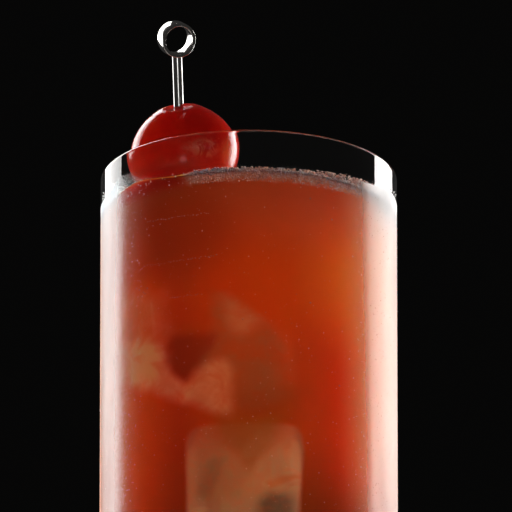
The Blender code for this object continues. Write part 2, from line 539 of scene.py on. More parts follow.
# %% Glass: the rounded edges
FOOT_ROUNDING, CORNER_ROUNDING, LIP_ROUNDING = 3 * MM, 5 * MM, 0.62 * MM
start_edit(glass, "EDGE")
round_edges(glass, lambda place: place.z < NEARLY, FOOT_ROUNDING, segments=8)
round_edges(glass, lambda place: abs(place.z - BASE) < NEARLY and ring_radius(place) < INSIDE + NEARLY,
            CORNER_ROUNDING, segments=10)
round_edges(glass, lambda place: place.z > GLASS_HEIGHT - NEARLY, LIP_ROUNDING, segments=6)
end_edit()
smooth(glass, 40)
print("edges rounded", len(glass.data.polygons), "faces")

# %% [markdown]
# ## The glass: where the mist lies
# Below the drink's line the glass is cold, and a fine mist has settled on the outside. Its drops are far
# too many to model, so the mist is a share: full on the outside below the line, higher at both sides and by
# the fruit, with a border that noise makes uneven.

# %% Glass: where the mist lies
MIST_TOP = LEVEL + 1.6 * MM
BESIDE_FRUIT = (132, 172)
clear = Finish("clear glass with mist")
outside = clear.ramp(clear.away_from((0, 0, 0), (1, 1, 0)), INSIDE + 0.3 * MM, GLASS_RADIUS - 0.2 * MM)
edge_wobble = clear.maths("MULTIPLY_ADD", clear.noise(4, 3), 1.6 * MM, -0.8 * MM)
right_rise = clear.ramp(clear.x, 24 * MM, 32 * MM, 0, 1.6 * MM)
left_rise = clear.ramp(clear.x, -24 * MM, -30 * MM, 0, 0.9 * MM)
fruit_rise = clear.ramp(clear.away_from(on_wall(*BESIDE_FRUIT), (1, 1, 0)), 1 * MM, 9 * MM, 2.2 * MM, 0)
lift = clear.plus(right_rise, left_rise, fruit_rise)
height = clear.maths("SUBTRACT", clear.plus(clear.z, edge_wobble), lift)
below = clear.ramp(height, MIST_TOP - 0.5 * MM, MIST_TOP + 0.2 * MM, 1.0, 0.0)
patches = clear.ramp(clear.noise(9, 4, 0.6, stretch=(1, 1, 0.5)), 0.3, 0.7, 0.87, 1.0)
mist = clear.times(outside, below, patches)
relief = clear.plus(clear.times(clear.cells(0.4), mist, 0.5), clear.times(clear.noise(14, 1), 0.15))
print("the mist ends at", in_mm([MIST_TOP]), "mm")

# %% [markdown]
# ## The glass: how the mist looks
# Mist is a soft white sheen where the wall turns away, and hides little of what is straight behind it. A
# white coat would hide the drink, so the glass only turns a little white and rough, more and more the
# further it turns from the eye.

# %% Glass: the veil and the blur of the mist
MOST_VEIL, LEVEL_VEIL, MOST_BLUR, LEAST_BLUR = 0.56, 0.34, 0.262, 0.07
edge_on = clear.turned_away()
thicker = clear.ramp(clear.x, -25 * MM, 25 * MM, 0.0, 0.12)
off_level = clear.maths("ABSOLUTE", clear.maths("SUBTRACT", clear.z, LEVEL))
by_level = clear.times(clear.ramp(off_level, 2 * MM, 9 * MM, LEVEL_VEIL, 0),
                       clear.ramp(clear.x, 24.5 * MM, 29.5 * MM), clear.ramp(clear.y, 2 * MM, -8 * MM))
veil = clear.plus(clear.ramp(clear.plus(edge_on, thicker), 0.32, 0.86, 0.004, MOST_VEIL), by_level)
right_blur = clear.times(clear.ramp(edge_on, 0.39, 0.58, 0, 0.3), clear.ramp(clear.x, 0, 20 * MM))
left_blur = clear.times(clear.ramp(edge_on, 0.56, 0.70, 0, 0.14), clear.ramp(clear.x, 0, -20 * MM))
blur = clear.plus(right_blur, left_blur, clear.ramp(edge_on, 0.08, 0.43, 0.0, MOST_BLUR))
print("a veil of up to", MOST_VEIL, "and by the drink's line", LEVEL_VEIL, "more")

# %% [markdown]
# ## The glass: painted reflections on its edges
# Seen edge-on the wall looks blue at the upper left, smoky and then brown below, and grey on the right,
# because it mirrors the studio. That room isn't here, so these reflections are painted into the colour of
# the near edges, only where the wall turns away.

# %% Glass: painted reflections on its edges
BLUE, SMOKY, BROWN, WHITISH, GREY = ((0.43, 0.69, 0.86), (0.28, 0.34, 0.40), (0.22, 0.10, 0.06),
                                     (0.93, 0.925, 0.925), (0.56, 0.52, 0.52))
EDGE_X = 104
SMOKY_FROM, SMOKY_TO, BROWN_TO = 290, 425, 515
lowest = clear.rows(EDGE_X, SMOKY_TO, BROWN_TO)
# Painted reflection on the left edge: blue above, smoky and then brown lower down.
left_painted_reflection = clear.layers(BLUE, (clear.rows(EDGE_X, SMOKY_FROM, SMOKY_TO), SMOKY), (lowest, BROWN))
near_side = clear.times(clear.ramp(clear.y, 0.0, -6 * MM), clear.ramp(edge_on, 0.34, 0.52))
left_edge = clear.times(clear.ramp(clear.x, -26 * MM, -30.8 * MM), near_side)
# Painted reflection on the right edge: grey, strongest low down.
right_edge = clear.times(clear.ramp(clear.x, 26 * MM, 30 * MM), near_side,
                         clear.maths("MULTIPLY_ADD", lowest, 0.85, 0.15))
# The glass's own whitish colour, under the painted reflections of its near edges.
glass_white_and_painted_reflections = clear.layers(WHITISH, (clear.times(mist, left_edge), left_painted_reflection),
                          (clear.times(mist, right_edge), GREY))
clear.set(Base_Color=glass_white_and_painted_reflections, IOR=1.5,
          Transmission_Weight=clear.less(clear.times(mist, veil)),
          Roughness=clear.times(mist, clear.largest(blur, LEAST_BLUR)),
          Normal=clear.bump(relief, 0.05, 0.3))
clear.let_light_through()
finish_piece(glass, clear, "glass", "glass")

# %% [markdown]
# ## The fruit: shape
# A firm round fruit, 24 mm across, is speared from above. The pick presses a small dimple into the skin. A
# sculpted sphere would do, but proportional editing gives the same: the pole of a sphere is turned to where
# the pick goes in, pushed in softly, and the ring round it is lifted a little. A cloud texture makes it
# uneven.

# %% Fruit: where it and the pick lie
FRUIT_RADIUS = 12 * MM
PICK_LEFT_OF_MIDDLE = 0.95 * MM
fruit_middle = Vector((-14.0, -12.1, 150.5)) * MM
pick_up = Vector((-0.038, -0.62, 1)).normalized()
pick_through = fruit_middle - Vector((PICK_LEFT_OF_MIDDLE, 0, 0))
pick_entry = (pick_through + pick_up * FRUIT_RADIUS - fruit_middle).normalized()
print("the pick leans", round(math.degrees(pick_up.angle(Vector((0, 0, 1)))), 1), "degrees")


# %% Fruit: the sphere and its dimple
def push(piece, way, depth, reach, wanted):
    """Moves the wanted points along the way, and softly those within reach of them."""
    start_edit(piece, "VERT")
    select_points(piece, wanted)
    bpy.ops.transform.translate(value=way * depth, use_proportional_edit=True,
                                proportional_edit_falloff="SMOOTH", proportional_size=reach)
    end_edit()


DIMPLE_RADIUS, DIMPLE_DEPTH, DIMPLE_REACH = 4.4 * MM, 0.7 * MM, 4.6 * MM
RIM_LIFT, RIM_REACH = 0.2 * MM, 1.8 * MM


def make_fruit(name, radius):
    select_nothing()
    bpy.ops.mesh.primitive_uv_sphere_add(segments=72, ring_count=48, radius=radius, location=fruit_middle,
                                         rotation=pick_entry.to_track_quat("Z", "Y").to_euler())
    piece = name_piece(name)
    apply_place(piece)
    entry = fruit_middle + pick_entry * radius
    near = 0.5 * MM
    push(piece, pick_entry, -DIMPLE_DEPTH, DIMPLE_REACH, lambda place: (place - entry).length < near)
    push(piece, pick_entry, RIM_LIFT, RIM_REACH,
         lambda place: abs((place - entry).length - DIMPLE_RADIUS) < near)
    add_wear(piece, "uneven flesh", size=7 * MM, strength=0.22 * MM)
    add_subdivision(piece, 1)
    apply_modifiers(piece)
    smooth(piece, 60)
    return piece


fruit = make_fruit("round_fruit", FRUIT_RADIUS)
print("fruit", in_mm(fruit.dimensions), "mm")

# %% [markdown]
# ## The fruit: finish
# Light sinks deep into the flesh before it comes out red, and a painted red would look like plastic. So the
# colour comes from light scattered under a smooth skin. Paler flesh shows through at the right, the
# underside and the far side are darker, and a few pale pores dot the skin.

# %% Fruit: its reds
FRUIT_Y = 158.4


def on_fruit(x, y):
    """The point of the fruit's near side that the photograph shows at this pixel."""
    right = column(x) - fruit_middle.x
    up = (FRUIT_Y - y) * PIXEL
    near = math.sqrt(max(FRUIT_RADIUS ** 2 - right ** 2 - up ** 2, 0))
    return fruit_middle + Vector((right, 0, 0)) + picture_up * up + towards_camera * near


LOW_FROM, LOW_TO = on_fruit(150, 158), on_fruit(150, 176)
RED, LIGHTER_RED, DARK_RED = (0.955, 0.036, 0.001), (0.985, 0.06, 0.003), (0.57, 0.015, 0.001)
DULL_RED = (0.58, 0.08, 0.025)
skin = Finish("translucent red fruit")
reds = skin.blend(skin.ramp(skin.noise(5, 3, 0.6), 0.35, 0.65), RED, LIGHTER_RED)
deeper = skin.largest(skin.ramp(skin.x, fruit_middle.x - 9 * MM, fruit_middle.x + 6 * MM),
                      skin.ramp(skin.y, fruit_middle.y, fruit_middle.y + 8 * MM))
low_down = skin.ramp(skin.z, LOW_FROM.z, LOW_TO.z, 0.0, 0.8)
reds = skin.layers(reds, (deeper, DARK_RED), (low_down, DULL_RED))
print("the underside begins at", in_mm(LOW_FROM))

# %% Fruit: pale flesh, pores and gloss
FLESH_AT, AMBER_AT = on_fruit(205, 152), on_fruit(228, 158)
FLESH, AMBER, PORE = (0.80, 0.28, 0.12), (0.72, 0.16, 0.03), (0.9, 0.45, 0.3)
flesh = skin.ramp(skin.away_from(FLESH_AT, (0.8, 1, 1.6)), 0.5 * MM, 5.0 * MM, 0.85, 0.0)
clouded = skin.ramp(skin.noise(3.6, 4, 0.6, 1.6), 0.40, 0.62)
amber = skin.ramp(skin.away_from(AMBER_AT, (1, 1, 0.8)), 0.5 * MM, 3.4 * MM, 0.8, 0.0)
pores = skin.ramp(skin.cells(1.9), 0.03, 0.06, 0.5, 0.0)
skin_colour = skin.layers(reds, (skin.times(flesh, clouded), FLESH), (amber, AMBER), (pores, PORE))
fine = skin.noise(0.5, 3)
wrinkles = skin.plus(skin.times(fine, 0.3), skin.noise(1.6, 4, 0.6, 1.2))
skin.set(Base_Color=skin_colour, Subsurface_Weight=1.0, Subsurface_Radius=(1.8, 0.17, 0.05),
         Subsurface_Scale=16 * MM, IOR=1.38,
         Roughness=skin.ramp(fine, 0.3, 0.7, 0.06, 0.13), Normal=skin.bump(wrinkles, 0.14, 0.5))
finish_piece(fruit, skin, "fruit", "fruit")

# %% [markdown]
# ## The pick: shape
# A thin round steel rod ends in a point below and in a short band of steel above, which is the grip. Both
# could be curves with a round bevel. Here the rod is a cylinder whose lower end is drawn out to a point,
# and the band is an open cylinder given a wall and soft edges. They are joined, then leaned into place
# together.

# %% Pick: the rod
PICK_LENGTH, ROD_RADIUS, POINT = 106 * MM, 1.08 * MM, 9 * MM
BAND_RADIUS, BAND_WALL, BAND_WIDTH = 3.85 * MM, 0.76 * MM, 3.6 * MM
BLUNTNESS = 0.1
rod_top = -BAND_RADIUS + BAND_WALL / 2
rod_bottom = BAND_RADIUS - PICK_LENGTH + POINT


def make_rod(name, radius):
    piece = add_cylinder(name, 32, radius, rod_bottom, rod_top)
    start_edit(piece)
    select_faces(piece, lambda normal: normal.z < -FLAT)
    bpy.ops.mesh.extrude_region_move(TRANSFORM_OT_translate={"value": (0, 0, -POINT)})
    bpy.ops.transform.resize(value=(BLUNTNESS, BLUNTNESS, 1), center_override=(0, 0, rod_bottom - POINT))
    end_edit()
    return piece


rod = make_rod("steel_pick", ROD_RADIUS)
print("rod", in_mm(rod.dimensions), "mm")

# %% Pick: the band
select_nothing()
bpy.ops.mesh.primitive_cylinder_add(vertices=96, radius=BAND_RADIUS, depth=BAND_WIDTH,
                                    end_fill_type="NOTHING", rotation=(math.pi / 2, 0, 0))
band = name_piece("band")
apply_place(band)
wall = band.modifiers.new("Wall", "SOLIDIFY")
wall.thickness, wall.offset = BAND_WALL, -1
soft_edge = band.modifiers.new("Soft edge", "BEVEL")
soft_edge.width, soft_edge.segments, soft_edge.limit_method = 0.12 * MM, 3, "ANGLE"
apply_modifiers(band)
combine(rod, band, "UNION")
print("rod and band", in_mm(rod.dimensions), "mm")

# %% Pick: into place
BAND_ABOVE_FRUIT, PICK_TURN = 26.7, math.radians(20)


def lean_pick(piece):
    """Turns the pick about itself, leans it on the near wall and sets it through the fruit."""
    middle = pick_through + pick_up * BAND_ABOVE_FRUIT * MM
    across = Vector((1, 0, 0))
    depth = pick_up.cross(across).normalized()
    across = depth.cross(pick_up)
    lean = Matrix((across, depth, pick_up)).transposed().to_4x4()
    piece.matrix_world = Matrix.Translation(middle) @ lean @ Matrix.Rotation(PICK_TURN, 4, "Z")
    apply_place(piece)


lean_pick(rod)
smooth(rod, 30)
cad_low, cad_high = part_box("pick")
print("pick", in_mm(rod.dimensions), "mm, in the CAD from", in_mm(cad_low), "to", in_mm(cad_high))

# %% [markdown]
# ## The pick: finish
# It is stainless steel, polished along its length, so the reflections are crisp with faint lengthwise
# scratches. Scratches are noise stretched along the rod, which the Mapping node leans with it.

# %% Pick: finish
SCRATCH_WIDTH, SCRATCH_STRETCH = 0.12 * MM, 0.04
steel = Finish("polished steel")
upright_again = Vector((0, 0, 1)).rotation_difference(pick_up).inverted().to_euler()
turned = steel.add("ShaderNodeMapping", Vector=steel.place, Rotation=upright_again).outputs[0]
drawn = steel.add("ShaderNodeMapping", Vector=turned, Scale=(1, 1, SCRATCH_STRETCH)).outputs[0]
scratches = steel.add("ShaderNodeTexNoise", Vector=drawn, Scale=1 / SCRATCH_WIDTH, Detail=3.0).outputs["Fac"]
smudges = steel.noise(3, 3, 0.6)
steel.set(Metallic=1.0, Base_Color=steel.blend(smudges, (0.60, 0.58, 0.56), (0.74, 0.72, 0.70)),
          Roughness=steel.ramp(steel.plus(scratches, smudges), 0.7, 1.3, 0.07, 0.17),
          Normal=steel.bump(scratches, 0.01, 0.25))
finish_piece(rod, steel, "steel", "pick")

# %% [markdown]
# ## The ice: shape
# Two cubes are sunk in the drink: one turned edge-on and tilted just under the fruit, one flat below it.
# They are cloudy and worn by melting. Each starts as a cube that has its top and foot tilted by hand, is
# rounded by a bevel and subdivided, and is then worn by a cloud texture.

# %% Ice
ICE_ROUNDING, MELT_SIZE, MELT_DEPTH = 2.6 * MM, 9 * MM, 1.98 * MM


def make_ice(name, middle, size, turn, top_tilt, foot_tilt):
    select_nothing()
    bpy.ops.mesh.primitive_cube_add(size=1, location=(0, 0, 0))
    piece = name_piece(name)
    piece.scale = Vector(size) * MM
    half = piece.scale[2] / 2
    piece.rotation_euler = (0, 0, math.radians(turn))
    apply_place(piece)
    for side, tilt in ((1, top_tilt), (-1, foot_tilt)):
        start_edit(piece, "VERT")
        select_points(piece, lambda place: place.z * side > 0)
        bpy.ops.transform.rotate(value=math.radians(-tilt), orient_axis="Y",
                                 center_override=(0, 0, side * half))
        end_edit()
    rounding = piece.modifiers.new("Rounding", "BEVEL")
    rounding.width, rounding.segments = ICE_ROUNDING, 4
    apply_modifiers(piece)
    start_edit(piece)
    bpy.ops.mesh.select_all(action="SELECT")
    bpy.ops.mesh.subdivide(number_cuts=5)
    end_edit()
    piece.location = Vector(middle) * MM
    apply_place(piece)
    add_wear(piece, "melting", MELT_SIZE, MELT_DEPTH)
    add_subdivision(piece, 1)
    apply_modifiers(piece)
    smooth(piece, 80)
    return piece


upper_ice = make_ice("upper_ice", middle=(-6.5, -11.5, 100.5), size=(23, 23, 26), turn=43, top_tilt=15,
                     foot_tilt=17)
lower_ice = make_ice("lower_ice", middle=(-0.8, -13.0, 69.5), size=(20.2, 23, 27), turn=2, top_tilt=2,
                     foot_tilt=0)
print("ice", in_mm(upper_ice.dimensions), in_mm(lower_ice.dimensions), "mm")

# %% [markdown]
# ## The ice: finish
# Ice is clear at its skin and white at its core, where air was trapped in veins. Specks inside a clear
# block would be slow to render, so the whole cube scatters light, whiter in the core and the veins.

# %% Ice: finish
CLEAR_ICE, WHITE_ICE = (0.84, 0.82, 0.78), (0.97, 0.96, 0.94)
frozen = Finish("cloudy ice")
core = frozen.ramp(frozen.noise(9, 4, 0.62, 0.8), 0.36, 0.64)
veins = frozen.ramp(frozen.noise(3.5, 5, 0.65, 1.5), 0.4, 0.7)
white = frozen.weighted((veins, 0.3), (core, 0.7))
frozen.set(Base_Color=frozen.blend(white, CLEAR_ICE, WHITE_ICE),
           Subsurface_Weight=1.0, Subsurface_Radius=(1, 1, 1), Subsurface_Scale=18 * MM, IOR=1.2,
           Transmission_Weight=frozen.ramp(white, 0.1, 0.8, 0.4, 0.05),
           Roughness=frozen.ramp(veins, 0.0, 1.0, 0.15, 0.35), Normal=frozen.bump(veins, 0.3, 0.4))
for cube in (upper_ice, lower_ice):
    finish_piece(cube, frozen, "drink")

# %% [markdown]
# ## The drink: shape
# The drink fills the glass and climbs a little up its wall, and higher where it is drawn in between wall
# and fruit. Blender bends light at each skin it meets. If the drink stopped short of the glass, a bright
# gap of air would show, and if the two skins met exactly they would flicker. So the drink reaches 0.3 mm
# into the wall. It is a cylinder with a rounded foot, and the fruit and the pick are cut from it by copies
# 0.1 mm smaller.

# %% Drink: the body
INTO_WALL = 0.3 * MM
drink_radius = INSIDE + INTO_WALL
drink_foot = BASE - INTO_WALL
drink = add_cylinder("red_drink", SIDES, drink_radius, drink_foot, LEVEL)
start_edit(drink, "EDGE")
round_edges(drink, lambda place: place.z < drink_foot + NEARLY, CORNER_ROUNDING, segments=10)
end_edit()
print("drink", in_mm(drink.dimensions), "mm")

# %% Drink: the climb up the wall
RING_WIDTHS = (0.5, 0.5, 0.6, 0.8)
CLIMBS = ((0.2, 0.2), (0.7, 0.1), (1.2, 0.05))
FRUIT_CLIMB, FRUIT_CLIMB_REACH = 1.0 * MM, 11 * MM
start_edit(drink)
select_faces(drink, lambda normal: normal.z > FLAT)
for width in RING_WIDTHS:
    bpy.ops.mesh.inset(thickness=width * MM)
end_edit()
start_edit(drink, "VERT")
for reach, climb in CLIMBS:
    inner = drink_radius - reach * MM
    select_points(drink, lambda place: place.z > LEVEL - NEARLY and ring_radius(place) > inner)
    bpy.ops.transform.translate(value=(0, 0, climb * MM))
    bpy.ops.mesh.select_all(action="DESELECT")
end_edit()
towards_fruit = Vector((fruit_middle.x, fruit_middle.y, 0)).normalized()
wall_by_fruit = towards_fruit * drink_radius + Vector((0, 0, LEVEL))
push(drink, Vector((0, 0, 1)), FRUIT_CLIMB, FRUIT_CLIMB_REACH,
     lambda place: place.z > LEVEL - NEARLY and ring_radius(place - wall_by_fruit) < 0.6 * MM)
print("the drink climbs to", in_mm([max(corner.co.z for corner in drink.data.vertices)]), "mm")

# %% Drink: room for the fruit and the pick
ROOM = 0.1 * MM
rod_room = make_rod("rod_room", ROD_RADIUS - ROOM)
lean_pick(rod_room)
combine(drink, make_fruit("fruit_room", FRUIT_RADIUS - ROOM), "DIFFERENCE")
combine(drink, rod_room, "DIFFERENCE")
smooth(drink, 40)
print("the drink has", len(drink.data.polygons), "faces")

# %% [markdown]
# ## The drink: its reds, with painted light and shade
# Grape juice and ginger ale make a deep red, and it is cloudy. A clear red liquid would show the black
# backdrop, so most of the drink scatters light over centimetres. Light and shade are painted into its
# colour as well: a painted orange glow where the softboxes stand behind it, painted light towards the right
# and on the lower left, and painted shade under the fruit and towards the foot. It is also hazy under the
# froth and deeper towards the back.

# %% Drink: its reds, with painted light and shade
DRINK_RED, RIGHT_LIT_RED, LEFT_LIT_ORANGE = (0.90, 0.17, 0.005), (0.95, 0.17, 0.006), (0.987, 0.29, 0.014)
GLOW_ORANGE, RIGHT_LIT_ORANGE, HAZY_PINK = (0.988, 0.39, 0.035), (0.985, 0.39, 0.09), (0.76, 0.25, 0.12)
SHADED_RED, LOW_SHADE_RED, FAR_RED = (0.66, 0.10, 0.006), (0.50, 0.085, 0.004), (0.46, 0.045, 0.003)
LEFT_X, LEFT_ROWS = 144, (260, 310)
GLOW_AT, SHADE_AT = on_wall(356, 290), on_wall(178, 222)
SHADE_COLUMNS = (126, 164)
LOW_SHADE_X, LOW_SHADE_ROWS = 250, (410, 556)
juice = Finish("cloudy red drink")
swirl = juice.noise(22, 3, 0.5, 0.8, stretch=(1, 1, 0.6))
rightwards = juice.maths("MULTIPLY_ADD", juice.ramp(swirl, 0.3, 0.7), 12 * MM, juice.x)
# Painted light: lighter towards the right, where the stronger softbox stands, with swirls of cloud.
liquid = juice.blend(juice.ramp(rightwards, -8 * MM, 38 * MM), DRINK_RED, RIGHT_LIT_RED)
# Painted light: the lower left turns orange.
left_lit_side = juice.times(juice.ramp(juice.x, -14 * MM, -23 * MM), juice.rows(LEFT_X, *LEFT_ROWS))
# Painted glow: orange where the right softbox shines through the drink.
glow = juice.ramp(juice.away_from(GLOW_AT, (1, 1, 0.85)), 3 * MM, 19 * MM, 1.0, 0.0)
# Painted light: orange on the right side.
right_lit_side = juice.ramp(juice.x, 18 * MM, 25 * MM, 0, 0.9)
haze = juice.ramp(juice.z, LEVEL - 22 * MM, LEVEL - 4 * MM, 0, 0.52)
shade = juice.times(juice.ramp(juice.away_from(SHADE_AT, (1, 1, 1.05)), 4 * MM, 21 * MM, 0.95, 0.0),
                    juice.columns(*SHADE_COLUMNS, 0.4, 1.0))
# Painted shade: darker towards the foot, more in the middle and on the right than on the left.
deep = juice.times(juice.rows(LOW_SHADE_X, *LOW_SHADE_ROWS), juice.ramp(juice.x, -12 * MM, 8 * MM, 0.5, 1.0))
far_side = juice.ramp(juice.y, -9 * MM, 6 * MM)
liquid = juice.layers(liquid, (left_lit_side, LEFT_LIT_ORANGE), (glow, GLOW_ORANGE), (right_lit_side, RIGHT_LIT_ORANGE),
                      (haze, HAZY_PINK), (shade, SHADED_RED), (deep, LOW_SHADE_RED), (far_side, FAR_RED))
print("the glow is at", in_mm(GLOW_AT), "and the shade at", in_mm(SHADE_AT))

# %% [markdown]
# ## The drink: where the ice shows through
# The cubes lie close to the near wall and show as paler patches. A drink clear enough to show them would
# show the dark behind them too, so the patches are laid on the drink itself: one for each face, facet and
# pocket, and for streaks of light. The facets and streaks are pale ice with painted light on it, and the
# darker pocket and the upper cube's foot are painted shade. Each has its softness in millimetres and its
# corners in pixels of the photograph, clockwise.

# %% Drink: the patches of ice
ICE_PATCHES = {
    "upper cube": (4.5, [(146, 300), (222, 289), (300, 342), (310, 398), (224, 414), (142, 386)]),
    "right face": (4.0, [(219, 288), (230, 292), (302, 348), (312, 398), (224, 416), (194, 398),
                         (196, 362)]),
    "top corner": (4.0, [(226, 298), (238, 300), (262, 324), (244, 336), (228, 330)]),
    "left column": (5.0, [(128, 296), (166, 292), (172, 348), (128, 350)]),
    "left facet": (4.0, [(126, 342), (162, 344), (194, 380), (194, 398), (126, 386)]),
    "low facet": (3.6, [(192, 366), (216, 356), (230, 366), (236, 414), (194, 400)]),
    "shaded foot": (7.0, [(232, 388), (290, 382), (304, 400), (292, 424), (236, 422)]),
    "lit streak": (1.8, [(162, 350), (168, 348), (192, 380), (184, 384)]),
    "high streak": (1.8, [(151, 298), (158, 298), (160, 350), (152, 350)]),
    "shaded pocket": (3.0, [(169, 340), (182, 330), (216, 328), (218, 340), (187, 378), (172, 366)]),
    "notch": (4.2, [(212, 412), (284, 412), (260, 462), (248, 473), (237, 464)]),
    "olive": (2.6, [(198, 484), (214, 456), (227, 458), (223, 476), (208, 494), (199, 493)]),
    "grey": (4.0, [(258, 494), (276, 486), (294, 490), (294, 530), (256, 530)]),
    "crack": (1.2, [(264, 479), (294, 468), (299, 473), (270, 484)]),
}
LOWER_CUBE = [(188, 435), (194, 426), (204, 422), (288, 421), (297, 425), (302, 437), (294, 560), (191, 560)]
uneven = juice.waver(10, 4.5)
ice = {name: juice.seen_patch(corners, soft * MM, uneven) for name, (soft, corners) in ICE_PATCHES.items()}
lower_cube = juice.seen_patch(LOWER_CUBE, 1.7 * MM, juice.place)
print(len(ice) + 1, "patches of ice")

# %% Drink: how much of each patch shows
RIGHT_FACE_COLUMNS = (306, 262)
LOWER_X, LOWER_ROWS = 250, (420, 458)
cloud = juice.ramp(juice.noise(9, 4, 0.6, 1.2), 0.34, 0.66, 0.75, 1.0)
flaws = juice.ramp(juice.noise(6, 4, 0.55, 1.4), 0.36, 0.64, 0.7, 1.2)
crumbs = juice.ramp(juice.noise(5, 5, 0.6, 2.0), 0.36, 0.64, 0.82, 1.08)
texture = juice.times(cloud, flaws)
right_face = juice.times(ice["right face"], juice.columns(*RIGHT_FACE_COLUMNS))
right_share = juice.times(juice.maths("MULTIPLY_ADD", ice["top corner"], -0.15, 0.55), right_face,
                          ice["upper cube"], texture)
# Painted light: the left facets and the streaks of light show brighter than the rest of the ice.
facets = juice.weighted((ice["left column"], 0.34), (ice["left facet"], 1.0), (ice["low facet"], 0.66),
                        (ice["top corner"], 0.30))
bright = juice.largest(facets, ice["lit streak"], juice.times(ice["high streak"], 0.5))
lit_ice_share = juice.times(bright, texture, juice.less(ice["shaded pocket"], 0.95))
lit_ice_share = juice.maths("MINIMUM", lit_ice_share, 0.95)
lower = juice.times(lower_cube, juice.less(ice["notch"], 0.6), juice.rows(LOWER_X, *LOWER_ROWS, 0.36, 1.0),
                    cloud, crumbs)
dull = juice.largest(juice.times(ice["olive"], 0.22), ice["grey"])
print("the lower cube fades in from", in_mm([on_wall(LOWER_X, row).z for row in LOWER_ROWS]), "mm")

# %% Drink: the colours of the ice behind it, with painted light and shade
TINT_X, TINT_ROWS = 240, (484, 510)
UPPER_TINT, LOWER_TINT = (0.96, 0.78, 0.46), (0.93, 0.86, 0.64)
CRACK, DULL = (0.96, 0.42, 0.12), (0.24, 0.26, 0.20)
FACE, LIT_ICE, SHADED_POCKET = (0.58, 0.34, 0.16), (1.0, 0.76, 0.46), (0.60, 0.06, 0.01)
SHADED_FOOT, NOTCH = (0.62, 0.15, 0.012), (0.68, 0.24, 0.03)
ice_tint = juice.blend(juice.rows(TINT_X, *TINT_ROWS), UPPER_TINT, LOWER_TINT)
ice_tint = juice.layers(ice_tint, (juice.times(ice["crack"], 0.7), CRACK), (dull, DULL))
# Painted shade: the pocket and the upper cube's foot turn darker red.
pocket, foot, notch = (juice.times(ice["shaded pocket"], 0.6), juice.times(ice["shaded foot"], 0.5),
                       juice.times(ice["notch"], 0.8))
pale_juice = juice.layers(liquid, (right_share, FACE), (lit_ice_share, LIT_ICE), (pocket, SHADED_POCKET), (foot, SHADED_FOOT),
                          (notch, NOTCH), (lower, ice_tint))
print("the lower cube pales from", in_mm([on_wall(TINT_X, row).z for row in TINT_ROWS]), "mm")

# %% [markdown]
# ## The drink: how far light spreads in it
# Red light travels furthest under a skin, and blue least. One distance for the whole drink would blur the
# ice or leave the sides dull. So each colour has its share of 36 mm, and the shares are larger in the
# glowing sides and the bright facets.

# %% Drink: how far light spreads
SPREAD, ICE_SPREAD, FACET_SPREAD = (1.0, 0.4, 0.2), (0.8, 0.7, 0.5), (3.0, 1.6, 1.1)
RIGHT_SPREAD, GLOW_SPREAD, LEFT_SPREAD = (1.8, 0.7, 0.25), (2.3, 0.9, 0.3), (2.0, 0.8, 0.4)
SPREAD_SCALE = 36 * MM
behind = juice.largest(lower, juice.times(lit_ice_share, 0.5))
wider = juice.times(juice.ramp(juice.x, 13 * MM, 22 * MM), juice.less(haze, 1.5), juice.less(deep, 0.9))
spread = juice.layers(SPREAD, (behind, ICE_SPREAD), (lit_ice_share, FACET_SPREAD), (wider, RIGHT_SPREAD),
                      (glow, GLOW_SPREAD), (juice.times(left_lit_side, 0.8), LEFT_SPREAD))
print("in the glow red light spreads", in_mm([GLOW_SPREAD[0] * SPREAD_SCALE]), "mm")

# %% [markdown]
# ## The drink: its upper edge
# Froth hangs under the surface in a ragged, grainy ring along the wall, but not beside the fruit, and at
# its top the drink climbs the glass in a thin clear red line. Bubbles alone would leave the ring too dark,
# so the skin of the drink is pale there.

# %% Drink: froth under its surface, the clear edge that climbs the glass, and painted shade edge-on
FRUIT_SIDE = on_wall(150, 180)
PALE_FROTH, CLEAR_RED, FRUIT_SIDE_RED, NEARLY_BLACK = ((0.90, 0.56, 0.48), (0.72, 0.02, 0.004),
                                                       (0.80, 0.03, 0.003), (0.02, 0.004, 0.002))
ragged = juice.maths("MULTIPLY_ADD", juice.noise(2.2, 4, 0.6), 3 * MM, juice.z)
along_wall = juice.ramp(juice.away_from((0, 0, 0), (1, 1, 0)), INSIDE - 6 * MM, INSIDE - 3 * MM)
beside = juice.ramp(juice.away_from(FRUIT_SIDE, (1, 1, 0)), 8 * MM, 12 * MM)
grainy = juice.ramp(juice.cells(0.5), 0.2, 0.7, 1.0, 0.5)
sunk_froth = juice.times(juice.ramp(ragged, LEVEL - 1.4 * MM, LEVEL + 0.6 * MM), along_wall, beside, grainy)
climbing = juice.times(juice.ramp(juice.z, LEVEL - 0.35 * MM, LEVEL + 0.1 * MM), juice.less(beside, 0.7))
by_fruit = juice.times(juice.ramp(juice.z, LEVEL - 4 * MM, LEVEL - 0.5 * MM, 0, 0.95), juice.less(beside))
# Painted shade: where the drink is seen edge-on, its colour turns nearly black.
edge_on_shade = juice.ramp(juice.turned_away(), 0.42, 0.6)
juice_colour = juice.layers(pale_juice, (sunk_froth, PALE_FROTH), (climbing, CLEAR_RED),
                            (by_fruit, FRUIT_SIDE_RED), (edge_on_shade, NEARLY_BLACK))
spread = juice.layers(spread, (sunk_froth, (0.6, 0.55, 0.5)), (climbing, (0.25, 1.0, 1.0)),
                      (by_fruit, (0.5, 0.015, 0.01)))
print("no froth within 8 mm of", in_mm(FRUIT_SIDE))

# %% [markdown]
# ## The drink: how much is seen straight through it
# A little light passes without being scattered: most of it in front of the lower cube and in the climbing
# edge. A warm murk, which fills the drink, dims it on its way.

